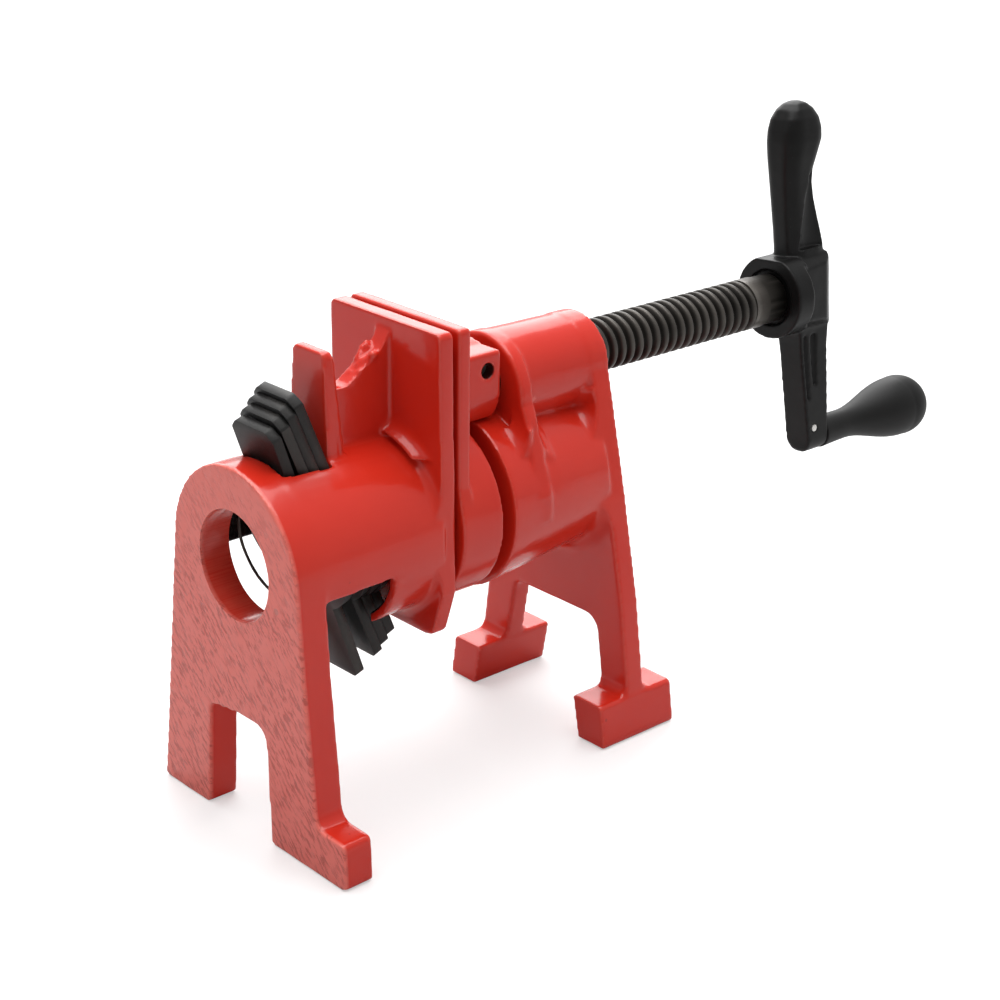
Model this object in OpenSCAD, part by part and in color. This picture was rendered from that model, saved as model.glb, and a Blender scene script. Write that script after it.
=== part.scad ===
// Screw-and-clutch clamp heads for standard threaded pipe: a screw head with
// a sliding jaw, and a tail jaw held by tilting clutch plates.
// Lengths in mm. X runs along the pipe, from the tail to the crank.
// Y is across, Z is up, and the origin is the middle of the pipe hole in
// the tail's front face.

/* [Pipe] */
// Radius of the smooth pipe hole in the tail and the sliding jaw
pipe_bore_r = 13.8; // [13.5:0.05:14.2]
// Radius of the pipe thread in the screw head
pipe_thread_r = 12.1; // [11.8:0.05:12.4]
// Depth of the pipe thread from the head's front face
pipe_thread_len = 27; // [20:0.5:32]
// Height of the pipe's middle above the bench
axis_height = 69; // [60:0.5:80]

/* [Tail jaw] */
// Thickness of the tail's leg plate
tail_plate_t = 8.4; // [6:0.1:10]
// Barrel radius at the leg plate
tail_barrel_r = 24.4; // [23.5:0.1:26]
// Barrel radius at the jaw plate
tail_barrel_end_r = 22.2; // [21.5:0.1:24]
// Radius of the hollow that holds the clutch plates
tail_hollow_r = 20.5; // [19.8:0.1:21]
// Distance from the tail's front face to where the hollow ends
tail_hollow_end = 39.2; // [38.5:0.1:41]
// Distance from the tail's front face to the jaw plate
tail_jaw_x = 45.4; // [44:0.1:50]
// Thickness of the tail's jaw plate
tail_jaw_t = 4.5; // [3.5:0.1:6]
// Half width of both jaw faces
jaw_half_w = 20.6; // [18:0.1:24]
// Height of both jaw faces above the pipe's middle
jaw_top = 51.6; // [46:0.2:58]
// Distance from the pipe's middle to the jaw plate's bottom edge
jaw_drop = 26; // [24:0.2:30]
// Half the spread of the tail's far leg at the bench
far_leg_out = 34.3; // [30:0.1:38]
// Width of the tail's legs at the bench
leg_w = 19; // [14:0.2:22]
// Reach of the near leg's foot from the pipe's middle
near_foot_out = 40.3; // [36:0.1:46]
// Height of the near leg's foot
near_foot_h = 11.8; // [8:0.1:15]
// Height of the gap between the tail's legs
leg_gap_h = 30.2; // [24:0.2:34]

/* [Thumb fin and web] */
// Distance from the tail's front face to the fin
fin_x = 23; // [22.5:0.1:24]
// Thickness of the fin
fin_t = 2.8; // [2:0.1:4]
// Height of the fin's top above the pipe's middle
fin_top = 48.3; // [42:0.2:52]
// Half width of the fin at its top
fin_half_w = 5.9; // [4:0.1:9]
// Thickness of the web between fin and jaw plate
web_t = 5; // [3:0.1:7]
// Height of the web's dip above the pipe's middle
web_dip = 37.3; // [30:0.1:42]

/* [Clutch plates] */
// Thickness of a clutch plate
disc_t = 2.6; // [2:0.05:2.7]
// Length of a clutch plate
disc_len = 72.5; // [66:0.5:74]
// Half width of a plate's round middle
disc_body_r = 18.6; // [17.5:0.1:19.2]
// Half width of a plate's two tongues
disc_tongue = 8; // [6:0.1:8.4]
// Radius of the hole in a plate
disc_hole_r = 14.15; // [14.1:0.05:15]
// Rest tilt of the front plate, in degrees
disc_1_tilt = 19; // [17:0.5:20]
// Rest tilt of the other plates, in degrees
disc_tilt = 22; // [20:0.5:23]
// Tilt of the front plate when squeezed upright, in degrees
disc_1_upright = 3.5; // [3:0.1:5]
// Tilt of the other plates when squeezed upright, in degrees
disc_upright = 4; // [3:0.1:5]
// Height above the pipe's middle at which the plates pivot
pivot_z = 22.5; // [22:0.1:23]
// Pivot of the front plate, from the tail's front face
pivot_1_x = 10.9; // [10.8:0.05:11.2]
// Pivot of the second plate, from the tail's front face
pivot_2_x = 14.75; // [14.6:0.05:15]
// Pivot spacing of the second, third and fourth plates
pivot_step = 2.9; // [2.85:0.01:3]
// Wire thickness of the clutch spring
spring_wire = 0.8; // [0.6:0.05:0.9]
// Radius of the clutch spring to the wire's middle
spring_r = 15.4; // [14.8:0.1:16.5]
// Number of turns in the clutch spring
spring_turns = 2; // [1.5:0.25:2]

/* [Sliding jaw] */
// Gap between the two jaw faces
jaw_gap = 1.5; // [1:0.1:6]
// Thickness of the sliding jaw's plate
slide_plate_t = 3.7; // [3:0.1:5]
// Length of the sliding jaw on the pipe
slide_len = 12.6; // [10:0.1:18]
// Outer radius of the sliding jaw's ring
slide_ring_r = 22.8; // [21:0.1:24]
// Reach of the screw boss behind the jaw face
boss_len = 21.6; // [18:0.1:25]
// Half width of the screw boss
boss_r = 11; // [9.5:0.1:13]
// Height of the boss's flat top above the pipe's middle
boss_top = 40.3; // [39:0.1:44]
// Radius of the pin that keeps the screw in the boss
keep_pin_r = 1.9; // [1.5:0.05:2.2]
// Height of that pin above the screw's middle
keep_pin_up = 5.6; // [5.2:0.05:6]

/* [Screw head] */
// Gap between the sliding jaw and the head
head_gap = 3.5; // [3.2:0.1:6]
// Radius of the head's pipe barrel at its front face
head_barrel_r = 23.4; // [22:0.1:25]
// Radius of the head's pipe barrel at the leg plate
head_barrel_end_r = 19.8; // [18:0.1:22]
// Length of the head's pipe barrel
head_barrel_len = 35.5; // [32:0.5:45]
// Thickness of the head's leg plate
head_plate_t = 6; // [4:0.1:8]
// Radius of the head's screw barrel
screw_barrel_r = 12.6; // [12:0.1:14]
// Thickness of the rib plate at the front of the screw barrel
rib_t = 4; // [3:0.1:6]
// Height of the gap between the head's legs
head_gap_h = 30.4; // [24:0.2:34]
// Length of a T-shaped foot, along the pipe
foot_len = 26.2; // [20:0.2:34]
// Height of a T-shaped foot
foot_h = 11.8; // [8:0.1:15]

/* [Screw and crank] */
// Height of the screw's middle above the pipe's middle
screw_z = 30; // [28.5:0.1:33]
// Outer radius of the screw
screw_r = 7.15; // [6.5:0.05:8]
// Radius of the screw's plain end inside the boss
journal_r = 5.6; // [5:0.05:6.2]
// Running clearance of turning parts, on the radius
run_fit = 0.05; // [0.02:0.01:0.08]
// Distance from the tail's front face to the end of the thread
thread_end_x = 177; // [165:0.5:185]
// Distance from the tail's front face to the crank's collar
collar_x = 184; // [178:0.5:192]
// Radius of the crank's collar
collar_r = 11.8; // [10:0.1:14]
// Depth of the crank, along the screw
crank_depth = 20.5; // [18:0.1:24]
// Distance from the screw to the knob's middle
crank_throw = 44; // [38:0.2:55]
// Length of the upper grip above the screw's middle
grip_len = 54; // [45:0.5:65]
// Radius of the rounded end of the grip
grip_r = 5.7; // [5:0.1:7]
// Half width of the crank's arms
arm_half_w = 4.2; // [3.8:0.1:6]
// Angle the crank is left standing at, in degrees
crank_rest = -5; // [-15:1:15]
// Radius of the ball end of the knob
knob_r = 9.1; // [8:0.1:12]
// Distance from the crank to the middle of the knob's ball
knob_reach = 37.5; // [30:0.5:45]
// Radius of the knob's neck
knob_neck_r = 4.4; // [3.8:0.1:5.5]
// Radius of the knob's stem inside the crank
stem_r = 3; // [2.5:0.05:3.2]
// Radius of the pin across the knob's stem
stem_pin_r = 1; // [0.8:0.05:1.2]

/* [Hidden] */
$fn = 96;
over = 1;

red = [0.72, 0.09, 0.08];
black = [0.06, 0.06, 0.065];
steel = [0.22, 0.21, 0.19];

floor_z = -axis_height;
tail_back = tail_jaw_x + tail_jaw_t;
slide_x = tail_back + jaw_gap;
ring_end = slide_x + slide_len;
boss_end = slide_x + boss_len;
head_x = ring_end + head_gap;
rib_x = boss_end + head_gap;
head_plate_x = head_x + head_barrel_len;
head_end = head_plate_x + head_plate_t;
foot_mid = head_plate_x + head_plate_t / 2;
crank_back = collar_x + crank_depth;
slot_front = tail_plate_t + 0.2;
slot_half = disc_tongue + 0.8;
tongue_relief = 1.4;
window_top = -4;
tail_fillet = 3;
head_fillet = 5;
rib_fillet = 4;
boss_floor = screw_z - journal_r - 2.2;
arch_r = screw_barrel_r - 0.3;
barrel_z = screw_z - 1.2;
rib_r = screw_barrel_r + 2.4;
rib_z = barrel_z + screw_barrel_r - rib_r;

// One entry per plate: rest tilt, upright tilt, pivot, and how far the
// plate's own middle lies below its pivot.
disc_rest = [disc_1_tilt, disc_tilt, disc_tilt, disc_tilt];
disc_stood = [disc_1_upright, disc_upright, disc_upright, disc_upright];
disc_pivot = [pivot_1_x, pivot_2_x, pivot_2_x + pivot_step, pivot_2_x + 2 * pivot_step];
disc_mid = [24.6, 21.9, 19.5, 17.15];

// ---- Outline helpers ----

function unit(v) = v / norm(v);

// The points of one corner, rounded with radius r.
function corner(p, q, s, r, n) = r <= 0 ? [q] :
    let (a = unit(p - q), b = unit(s - q), half = acos(a * b) / 2,
        c = q + unit(a + b) * r / sin(half),
        ta = q + a * r / tan(half) - c, tb = q + b * r / tan(half) - c,
        a0 = atan2(ta[1], ta[0]), turn = (atan2(tb[1], tb[0]) - a0 + 540) % 360 - 180)
    [for (i = [0:n]) c + r * [cos(a0 + turn * i / n), sin(a0 + turn * i / n)]];

// An outline with every corner rounded; each point is [u, v, radius].
function rounded(pts, n = 6) = let (k = len(pts)) [for (i = [0:k - 1])
    each corner([pts[(i + k - 1) % k][0], pts[(i + k - 1) % k][1]], [pts[i][0], pts[i][1]],
        [pts[(i + 1) % k][0], pts[(i + 1) % k][1]], pts[i][2], n)];

// Extrudes a [y, z] outline along X.
module along_x(x, t) {
    translate([x, 0, 0])
        rotate([90, 0, 90])
            linear_extrude(t)
                children();
}

// Extrudes an [x, z] outline along Y, centred on Y = 0.
module along_y(t) {
    translate([0, t / 2, 0])
        rotate([90, 0, 0])
            linear_extrude(t)
                children();
}

// A round bar or cone along X.
module rod(x, len, r1, r2 = undef, z = 0) {
    translate([x, 0, z])
        rotate([0, 90, 0])
            cylinder(h = len, r1 = r1, r2 = r2 == undef ? r1 : r2);
}

// A concave ring of metal in the corner between a barrel and a plate;
// facing is -1 where the ring lies on the plate's low side.
module fillet_ring(plate_x, facing, barrel_r, size, z = 0) {
    translate([plate_x, 0, z])
        rotate([0, 90, 0])
            rotate_extrude()
                difference() {
                    translate([barrel_r - 0.4, facing > 0 ? -0.4 : -size])
                        square([size + 0.4, size + 0.4]);
                    translate([barrel_r + size, facing * size])
                        circle(r = size, $fn = 48);
                }
}

// ---- Tail jaw ----

module tail_leg_outline() {
    circle(r = tail_barrel_r);
    polygon(rounded([
        [tail_barrel_r * cos(10), tail_barrel_r * sin(10), 0],
        [-tail_barrel_r * cos(6), tail_barrel_r * sin(6), 0],
        [-tail_barrel_r - 1.6, -22, 12],
        [-tail_barrel_r - 4.9, floor_z + near_foot_h, 3.5],
        [-near_foot_out + 0.4, floor_z + near_foot_h, 1.5],
        [-near_foot_out, floor_z, 0.8],
        [-near_foot_out + 28.9, floor_z, 0.8],
        [-near_foot_out + 30, floor_z + leg_gap_h + 0.4, 4.5],
        [1.6, floor_z + leg_gap_h, 0],
        [far_leg_out - leg_w - 2.8, floor_z + leg_gap_h - 1.6, 1.6],
        [far_leg_out - leg_w - 0.6, floor_z, 0.8],
        [far_leg_out, floor_z, 0.8]
    ]));
}

module jaw_outline() {
    polygon(rounded([
        [jaw_half_w, jaw_top, 1.5],
        [-jaw_half_w, jaw_top, 1.5],
        [-jaw_half_w - 1, -13.8, 2],
        [-jaw_half_w + 3, -jaw_drop, 3],
        [jaw_half_w - 3, -jaw_drop, 3],
        [jaw_half_w + 1, -13.8, 2]
    ]));
}

module fin_outline() {
    polygon(rounded([
        [fin_half_w, fin_top, 1.6],
        [-fin_half_w, fin_top, 1.6],
        [-fin_half_w - 0.9, tail_hollow_r, 0],
        [fin_half_w + 1.7, tail_hollow_r, 0],
        [fin_half_w + 1.7, 34, 6]
    ]));
}

// The web's side view: a dip behind the fin and a sweep up the jaw plate.
module web_outline() {
    polygon(rounded([
        [fin_x + 0.5, tail_hollow_r, 0],
        [fin_x + 0.5, web_dip + 4, 0],
        [fin_x + fin_t, web_dip + 2.6, 0],
        [fin_x + fin_t + 1.4, web_dip + 0.6, 1.5],
        [fin_x + 9, web_dip, 5],
        [tail_jaw_x - 2.6, web_dip + 7.6, 4],
        [tail_jaw_x, web_dip + 11.8, 0],
        [tail_jaw_x + 0.5, web_dip + 11.8, 0],
        [tail_jaw_x + 0.5, tail_hollow_r, 0]
    ], 8));
}

// Concave fillets in the corners between the web and the jaw plate.
module web_fillet(r) {
    intersection() {
        along_y(web_t + 2 * r)
            web_outline();
        for (side = [-1, 1])
            translate([tail_jaw_x, side * web_t / 2, 0])
                linear_extrude(jaw_top)
                    difference() {
                        translate([-r, side > 0 ? -0.2 : -r])
                            square([r + 0.2, r + 0.2]);
                        translate([-r, side * r])
                            circle(r = r, $fn = 32);
                    }
    }
}

module tail_hollows() {
    rod(-over, tail_back + 2 * over, pipe_bore_r);
    rod(tail_plate_t, tail_hollow_end - tail_plate_t, tail_hollow_r);
    // top slot for the plates' upper tongues
    translate([slot_front, -slot_half, 0])
        cube([fin_x - slot_front, 2 * slot_half, tail_barrel_r + over]);
    // relief behind that slot for the corners of the tilted tongues
    translate([fin_x - 0.5, -slot_half, 0])
        cube([tongue_relief + 0.5, 2 * slot_half, tail_hollow_r]);
    // side windows, cut on a slant like the plates
    along_y(4 * tail_barrel_r)
        polygon(rounded([
            [tail_plate_t, window_top, 0],
            [30.2, window_top, 1.5],
            [32.4, -tail_barrel_r - over, 0],
            [tail_plate_t, -tail_barrel_r - over, 0]
        ]));
    // bottom slot for the lower tongues
    along_y(2 * slot_half + 3)
        polygon([
            [tail_plate_t, -8],
            [37.4, -8],
            [44.2, -tail_barrel_r - over],
            [tail_plate_t, -tail_barrel_r - over]
        ]);
}

module tail_jaw() {
    color(red)
        difference() {
            union() {
                along_x(0, tail_plate_t)
                    tail_leg_outline();
                rod(tail_plate_t - 0.5, tail_jaw_x - tail_plate_t + 1, tail_barrel_r, tail_barrel_end_r);
                along_x(tail_jaw_x, tail_jaw_t)
                    jaw_outline();
                along_x(fin_x, fin_t)
                    fin_outline();
                along_y(web_t)
                    web_outline();
                web_fillet(4);
                intersection() {
                    fillet_ring(tail_jaw_x, -1, tail_barrel_end_r, tail_fillet);
                    along_x(tail_jaw_x - tail_fillet, tail_fillet + 1)
                        jaw_outline();
                }
            }
            tail_hollows();
        }
}

// ---- Clutch plates and their spring ----

// A plate's outline; v = 0 is the pivot and the plate hangs below it.
module disc_outline(i) {
    top = disc_len / 2 - disc_mid[i];
    bottom = -disc_len / 2 - disc_mid[i];
    hole = -pivot_z / cos(disc_stood[i]);
    difference() {
        union() {
            polygon(rounded([
                [disc_tongue, bottom, 1.4],
                [disc_tongue, top - 2.2, 1.2],
                [disc_tongue - 2.3, top, 1.2],
                [-disc_tongue + 2.3, top, 1.2],
                [-disc_tongue, top - 2.2, 1.2],
                [-disc_tongue, bottom, 1.4]
            ], 4));
            translate([0, hole])
                circle(r = disc_body_r);
        }
        translate([0, hole])
            circle(r = disc_hole_r);
    }
}

module clutch_disc(i) {
    color(black)
        translate([disc_pivot[i], 0, pivot_z])
            rotate([0, -disc_rest[i], 0])
                along_x(-disc_t / 2, disc_t)
                    disc_outline(i);
}

module clutch_disc_1() {
    clutch_disc(0);
}

module clutch_disc_2() {
    clutch_disc(1);
}

module clutch_disc_3() {
    clutch_disc(2);
}

module clutch_disc_4() {
    clutch_disc(3);
}

// The spring lies flat on the leg plate and fans out to the front plate's
// tilt, so each turn leans a little more than the one before.
spring_from = tail_plate_t + spring_wire / 2 + 0.02;
spring_to = pivot_1_x + pivot_z * tan(disc_1_tilt) - (disc_t + spring_wire) / 2 / cos(disc_1_tilt) - 0.05;
spring_steps = round(spring_turns * 8);
function spring_at(t) = let (a = 180 + 360 * spring_turns * t, lean = disc_1_tilt * t)
    [spring_from + (spring_to - spring_from) * t - spring_r * cos(a) * sin(lean),
    spring_r * sin(a), spring_r * cos(a) * cos(lean)];
spring_mid = [for (i = [0:spring_steps]) spring_at(i / spring_steps)];
function spring_dir(i) = unit(spring_mid[min(i + 1, spring_steps)] - spring_mid[max(i - 1, 0)]);
function spring_ring(i) = let (d = spring_dir(i), u = unit(cross(d, [1, 0, 0])), w = cross(d, u))
    [for (k = [0:5]) spring_mid[i] + spring_wire / 2 * (cos(60 * k) * u + sin(60 * k) * w)];

// Smallest open distance between one turn and the next.
spring_gap = min([for (i = [0:0.01:1 - 0.75 / spring_turns]) for (j = [0.75:0.02:1.25])
    if (i + j / spring_turns <= 1) norm(spring_at(i + j / spring_turns) - spring_at(i))]) - spring_wire;
echo(spring_gap = spring_gap);

module clutch_spring() {
    color(steel)
        polyhedron(
            points = [for (i = [0:spring_steps]) each spring_ring(i)],
            faces = concat(
                [[5, 4, 3, 2, 1, 0]],
                [for (i = [0:spring_steps - 1]) for (k = [0:5])
                    [6 * i + k, 6 * i + (k + 1) % 6, 6 * (i + 1) + (k + 1) % 6]],
                [for (i = [0:spring_steps - 1]) for (k = [0:5])
                    [6 * i + k, 6 * (i + 1) + (k + 1) % 6, 6 * (i + 1) + k]],
                [[for (k = [0:5]) 6 * spring_steps + k]]
            )
        );
}

// ---- Sliding jaw and the pin that keeps the screw ----

module slide_outline() {
    polygon(rounded([
        [jaw_half_w, jaw_top, 1.2],
        [-jaw_half_w, jaw_top, 1.2],
        [-jaw_half_w, 12, 8],
        [-slide_ring_r + 0.4, 4, 0],
        [slide_ring_r - 0.4, 4, 0],
        [jaw_half_w, 12, 8]
    ]));
    circle(r = slide_ring_r);
}

module boss_outline() {
    translate([0, screw_z])
        circle(r = boss_r);
    polygon(rounded([
        [boss_r, boss_top, 0.8],
        [-boss_r, boss_top, 0.8],
        [-boss_r, screw_z, 0],
        [boss_r, screw_z, 0]
    ], 3));
}

module sliding_jaw() {
    color(red)
        difference() {
            union() {
                along_x(slide_x, slide_plate_t)
                    slide_outline();
                rod(slide_x, slide_len, slide_ring_r);
                along_x(slide_x + slide_plate_t - 0.5, boss_len - slide_plate_t + 0.5)
                    boss_outline();
            }
            rod(slide_x - over, slide_len + 2 * over, pipe_bore_r);
            // flat underside that runs over the head's barrel
            translate([ring_end, -2 * boss_r, 0])
                cube([boss_len, 4 * boss_r, boss_floor]);
            rod(slide_x + slide_plate_t + 2, boss_len, journal_r + run_fit, z = screw_z);
            translate([boss_end - 4, 0, screw_z + keep_pin_up])
                rotate([90, 0, 0])
                    cylinder(h = 4 * boss_r, r = keep_pin_r + 0.02, center = true, $fn = 48);
        }
}

module screw_retaining_pin() {
    color(steel)
        translate([boss_end - 4, 0, screw_z + keep_pin_up])
            rotate([90, 0, 0])
                cylinder(h = 2 * boss_r - 6, r = keep_pin_r, center = true, $fn = 48);
}

// ---- Screw head ----

module rib_outline() {
    translate([0, rib_z])
        circle(r = rib_r);
    polygon(rounded([
        [rib_r, rib_z, 0],
        [-rib_r, rib_z, 0],
        [-rib_r - 1.9, screw_z - 8, 14],
        [-rib_r - 3.8, screw_z - 19, 0],
        [-rib_r - 3.8, 4, 0],
        [rib_r + 3.8, 4, 0],
        [rib_r + 3.8, screw_z - 19, 0],
        [rib_r + 1.9, screw_z - 8, 14]
    ]));
}

// The head's rear plate: an arch over the screw and two spread legs.
module head_leg_outline() {
    difference() {
        union() {
            translate([0, barrel_z])
                circle(r = arch_r);
            polygon(rounded([
                [arch_r, barrel_z, 0],
                [-arch_r, barrel_z, 0],
                [-20, -5, 30],
                [-25.4, -32, 30],
                [-29, floor_z + foot_h - 1, 0],
                [29, floor_z + foot_h - 1, 0],
                [25.4, -32, 30],
                [20, -5, 30]
            ]));
        }
        polygon(rounded([
            [-18.7, floor_z, 0],
            [-18.7, floor_z + foot_h, 0],
            [-16, floor_z + head_gap_h, 5],
            [15.4, floor_z + head_gap_h, 2.5],
            [18.7, floor_z + foot_h, 0],
            [18.7, floor_z, 0]
        ]));
    }
}

// A T-shaped foot in the leg's own slant, with fillets up to the leg.
module head_foot(side) {
    r = 3;
    along_x(foot_mid - foot_len / 2, foot_len)
        polygon(rounded([
            [side * 18.4, floor_z + foot_h, 0.6],
            [side * 29.05, floor_z + foot_h, 0.6],
            [side * 30.8, floor_z, 0.6],
            [side * 20.8, floor_z, 0.6]
        ], 3));
    translate([0, side * 23.6, 0])
        along_y(9.4)
            difference() {
                translate([head_plate_x - r, floor_z + foot_h - 0.5])
                    square([head_plate_t + 2 * r, r + 0.5]);
                translate([head_plate_x - r, floor_z + foot_h + r])
                    circle(r = r, $fn = 32);
                translate([head_end + r, floor_z + foot_h + r])
                    circle(r = r, $fn = 32);
            }
}

// Fillets where both barrels meet the leg plate, and behind the rib.
module head_fillets() {
    rib_back = rib_x + rib_t;
    slope = (head_barrel_r - head_barrel_end_r) / head_barrel_len;
    intersection() {
        union() {
            fillet_ring(head_plate_x, -1, head_barrel_end_r, head_fillet);
            fillet_ring(head_plate_x, -1, arch_r - 0.4, head_fillet - 1, z = barrel_z);
        }
        along_x(head_plate_x - head_fillet, head_fillet + 1)
            head_leg_outline();
        translate([0, -2 * screw_barrel_r, -head_barrel_r - head_fillet])
            cube([2 * head_plate_x, 4 * screw_barrel_r, head_barrel_r + head_fillet + screw_z - 6]);
    }
    intersection() {
        fillet_ring(rib_back, 1, head_barrel_r - slope * (rib_back - head_x), rib_fillet);
        along_x(rib_back - 1, rib_fillet + 1)
            rib_outline();
    }
}

module head() {
    color(red)
        difference() {
            union() {
                difference() {
                    rod(head_x, head_barrel_len + 0.5, head_barrel_r, head_barrel_end_r);
                    // flat that the sliding jaw's boss runs over
                    translate([head_x - over, -2 * boss_r, boss_floor - 0.5])
                        cube([rib_x - head_x + over, 4 * boss_r, 2 * boss_r]);
                }
                rod(rib_x, head_plate_x - rib_x + 0.5, screw_barrel_r, arch_r - 0.2, z = barrel_z);
                along_x(rib_x, rib_t)
                    rib_outline();
                along_x(head_plate_x, head_plate_t)
                    head_leg_outline();
                head_fillets();
                for (side = [-1, 1])
                    head_foot(side);
                // web that ties the two barrels together
                translate([rib_x, -5, 8])
                    cube([head_plate_x - rib_x + 1, 10, screw_z - 16]);
            }
            rod(head_x - over, pipe_thread_len + over, pipe_thread_r);
            rod(head_x, head_end - head_x + over, pipe_thread_r - 2.6);
            rod(rib_x - over, head_end - rib_x + 2 * over, screw_r + run_fit, z = screw_z);
        }
}

// ---- Screw ----

module screw() {
    groove_r = keep_pin_up - keep_pin_r - run_fit;
    tip_x = slide_x + slide_plate_t + 2.05;
    color(steel)
        translate([0, 0, screw_z])
            difference() {
                union() {
                    rod(tip_x, boss_end - tip_x + 1, journal_r);
                    rod(boss_end + 0.3, thread_end_x - boss_end - 0.3, screw_r);
                    rod(thread_end_x - 0.5, collar_x - thread_end_x + 0.5, screw_r - 0.25);
                    rod(collar_x - 0.5, crank_depth - 4, journal_r);
                }
                difference() {
                    rod(boss_end - 4 - keep_pin_r - 0.15, 2 * keep_pin_r + 0.3, journal_r + over);
                    rod(boss_end - 4 - keep_pin_r - 0.3, 2 * keep_pin_r + 0.6, groove_r);
                }
            }
}

// ---- Crank ----

// Side view of the crank: front and back edges of both arms.
module crank_side() {
    polygon(rounded([
        [collar_x + 6, grip_len, grip_r - 0.1],
        [crank_back - 3.2, grip_len, grip_r - 0.1],
        [crank_back - 3.2, grip_len - 8, 4],
        [crank_back - 6.2, grip_len - 20, 7],
        [crank_back - 0.9, 13, 4],
        [crank_back, 7, 3],
        [crank_back, -crank_throw - arm_half_w - 0.2, 1.2],
        [collar_x + 12.4, -crank_throw - arm_half_w - 0.2, 1.2],
        [collar_x + 9, -15, 10],
        [collar_x + 7.6, -7, 0],
        [collar_x + 6, 7, 0]
    ], 8));
}

// Front view of the crank: hub, knob end and rounded grip.
module crank_front() {
    polygon(rounded([
        [arm_half_w + 0.4, grip_len, arm_half_w],
        [-arm_half_w - 0.4, grip_len, arm_half_w],
        [-arm_half_w, 18, 12],
        [-arm_half_w - 0.4, 10.5, 3],
        [-7.6, 7.4, 0.8],
        [-7.6, -7.4, 0.8],
        [-arm_half_w - 0.4, -10.5, 3],
        [-arm_half_w, -18, 12],
        [-arm_half_w - 0.2, -crank_throw, 0],
        [arm_half_w + 0.2, -crank_throw, 0],
        [arm_half_w, -18, 12],
        [arm_half_w + 0.4, -10.5, 3],
        [7.6, -7.4, 0.8],
        [7.6, 7.4, 0.8],
        [arm_half_w + 0.4, 10.5, 3],
        [arm_half_w, 18, 12]
    ], 8));
    translate([0, -crank_throw])
        circle(r = arm_half_w + 0.2);
}

// A hollow in both sides of an arm, from its outline and its depth.
module flute(depth, pts) {
    for (side = [-1, 1])
        translate([0, side * (arm_half_w + 2.5 - depth), 0])
            along_y(5)
                polygon(rounded(pts, 4));
}

// The long triangle in the grip's arm and two narrow grooves in the knob's.
module crank_flutes() {
    flute(1.3, [
        [crank_back - 11.2, 12.4, 1.2],
        [crank_back - 3, 12.4, 1.8],
        [crank_back - 7.6, grip_len - 18, 0.5],
        [crank_back - 8.6, grip_len - 18, 0.3]
    ]);
    flute(0.8, [
        [crank_back - 10.6, -12.5, 0.4],
        [crank_back - 9.2, -12.5, 0.6],
        [crank_back - 7.9, -crank_throw + 12, 0.4],
        [crank_back - 8.7, -crank_throw + 12, 0.3]
    ]);
    flute(0.9, [
        [crank_back - 7.6, -12.5, 0.8],
        [crank_back - 5, -12.5, 0.8],
        [crank_back - 4.8, -crank_throw + 16, 0.6],
        [crank_back - 6.2, -crank_throw + 16, 0.6]
    ]);
}

module on_crank() {
    translate([0, 0, screw_z])
        rotate([crank_rest, 0, 0])
            children();
}

stem_pin_x = crank_back - 6;
stem_pin_up = 3.3;

module crank_handle() {
    color(black)
        on_crank()
            difference() {
                union() {
                    rod(collar_x, 8, collar_r);
                    intersection() {
                        along_y(40)
                            crank_side();
                        along_x(collar_x, crank_depth)
                            crank_front();
                    }
                    rod(collar_x + 6, crank_depth - 7, 7.4);
                }
                crank_flutes();
                rod(collar_x - over, crank_depth - 3, journal_r + 0.01);
                rod(collar_x - over, over + 1.2, screw_r + 0.9);
                translate([0, 0, -crank_throw]) {
                    rod(crank_back - 8.4, 8.4 + over, stem_r + run_fit);
                    translate([stem_pin_x, 0, stem_pin_up])
                        rotate([90, 0, 0])
                            cylinder(h = 20, r = stem_pin_r + 0.01, center = true, $fn = 32);
                }
            }
}

// The knob's profile from its neck to its ball, as [x, r] pairs.
knob_swell = [for (i = [0:12]) let (t = i / 12, s = t * t * (3 - 2 * t))
    [0.3 + t * (knob_reach - 2.4), knob_neck_r + (knob_r * 0.985 - knob_neck_r) * s * sqrt(t)]];
knob_cap = [for (i = [1:9]) let (a = 105 - i * 105 / 9) [knob_reach + knob_r * cos(a), knob_r * sin(a)]];

module crank_knob() {
    groove_r = stem_pin_up - stem_pin_r - run_fit;
    color(black)
        on_crank()
            translate([crank_back, 0, -crank_throw])
                rotate([90, 0, 90])
                    rotate_extrude()
                        polygon(concat(
                            [[0, -8.3], [stem_r, -8.3], [stem_r, -6 - stem_pin_r - 0.15],
                                [groove_r, -6 - stem_pin_r - 0.15], [groove_r, -6 + stem_pin_r + 0.15],
                                [stem_r, -6 + stem_pin_r + 0.15], [stem_r, 0.3]],
                            [for (p = knob_swell) [p[1], p[0]]],
                            [for (p = knob_cap) [max(p[1], 0), p[0]]]
                        ));
}

module knob_pin() {
    color(steel)
        on_crank()
            translate([stem_pin_x, 0, -crank_throw + stem_pin_up])
                rotate([90, 0, 0])
                    cylinder(h = 2 * arm_half_w + 0.4, r = stem_pin_r, center = true, $fn = 32);
}

tail_jaw();
clutch_disc_1();
clutch_disc_2();
clutch_disc_3();
clutch_disc_4();
clutch_spring();
sliding_jaw();
screw_retaining_pin();
head();
screw();
crank_handle();
crank_knob();
knob_pin();
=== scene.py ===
import math
import random

import bpy
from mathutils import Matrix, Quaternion, Vector


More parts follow.
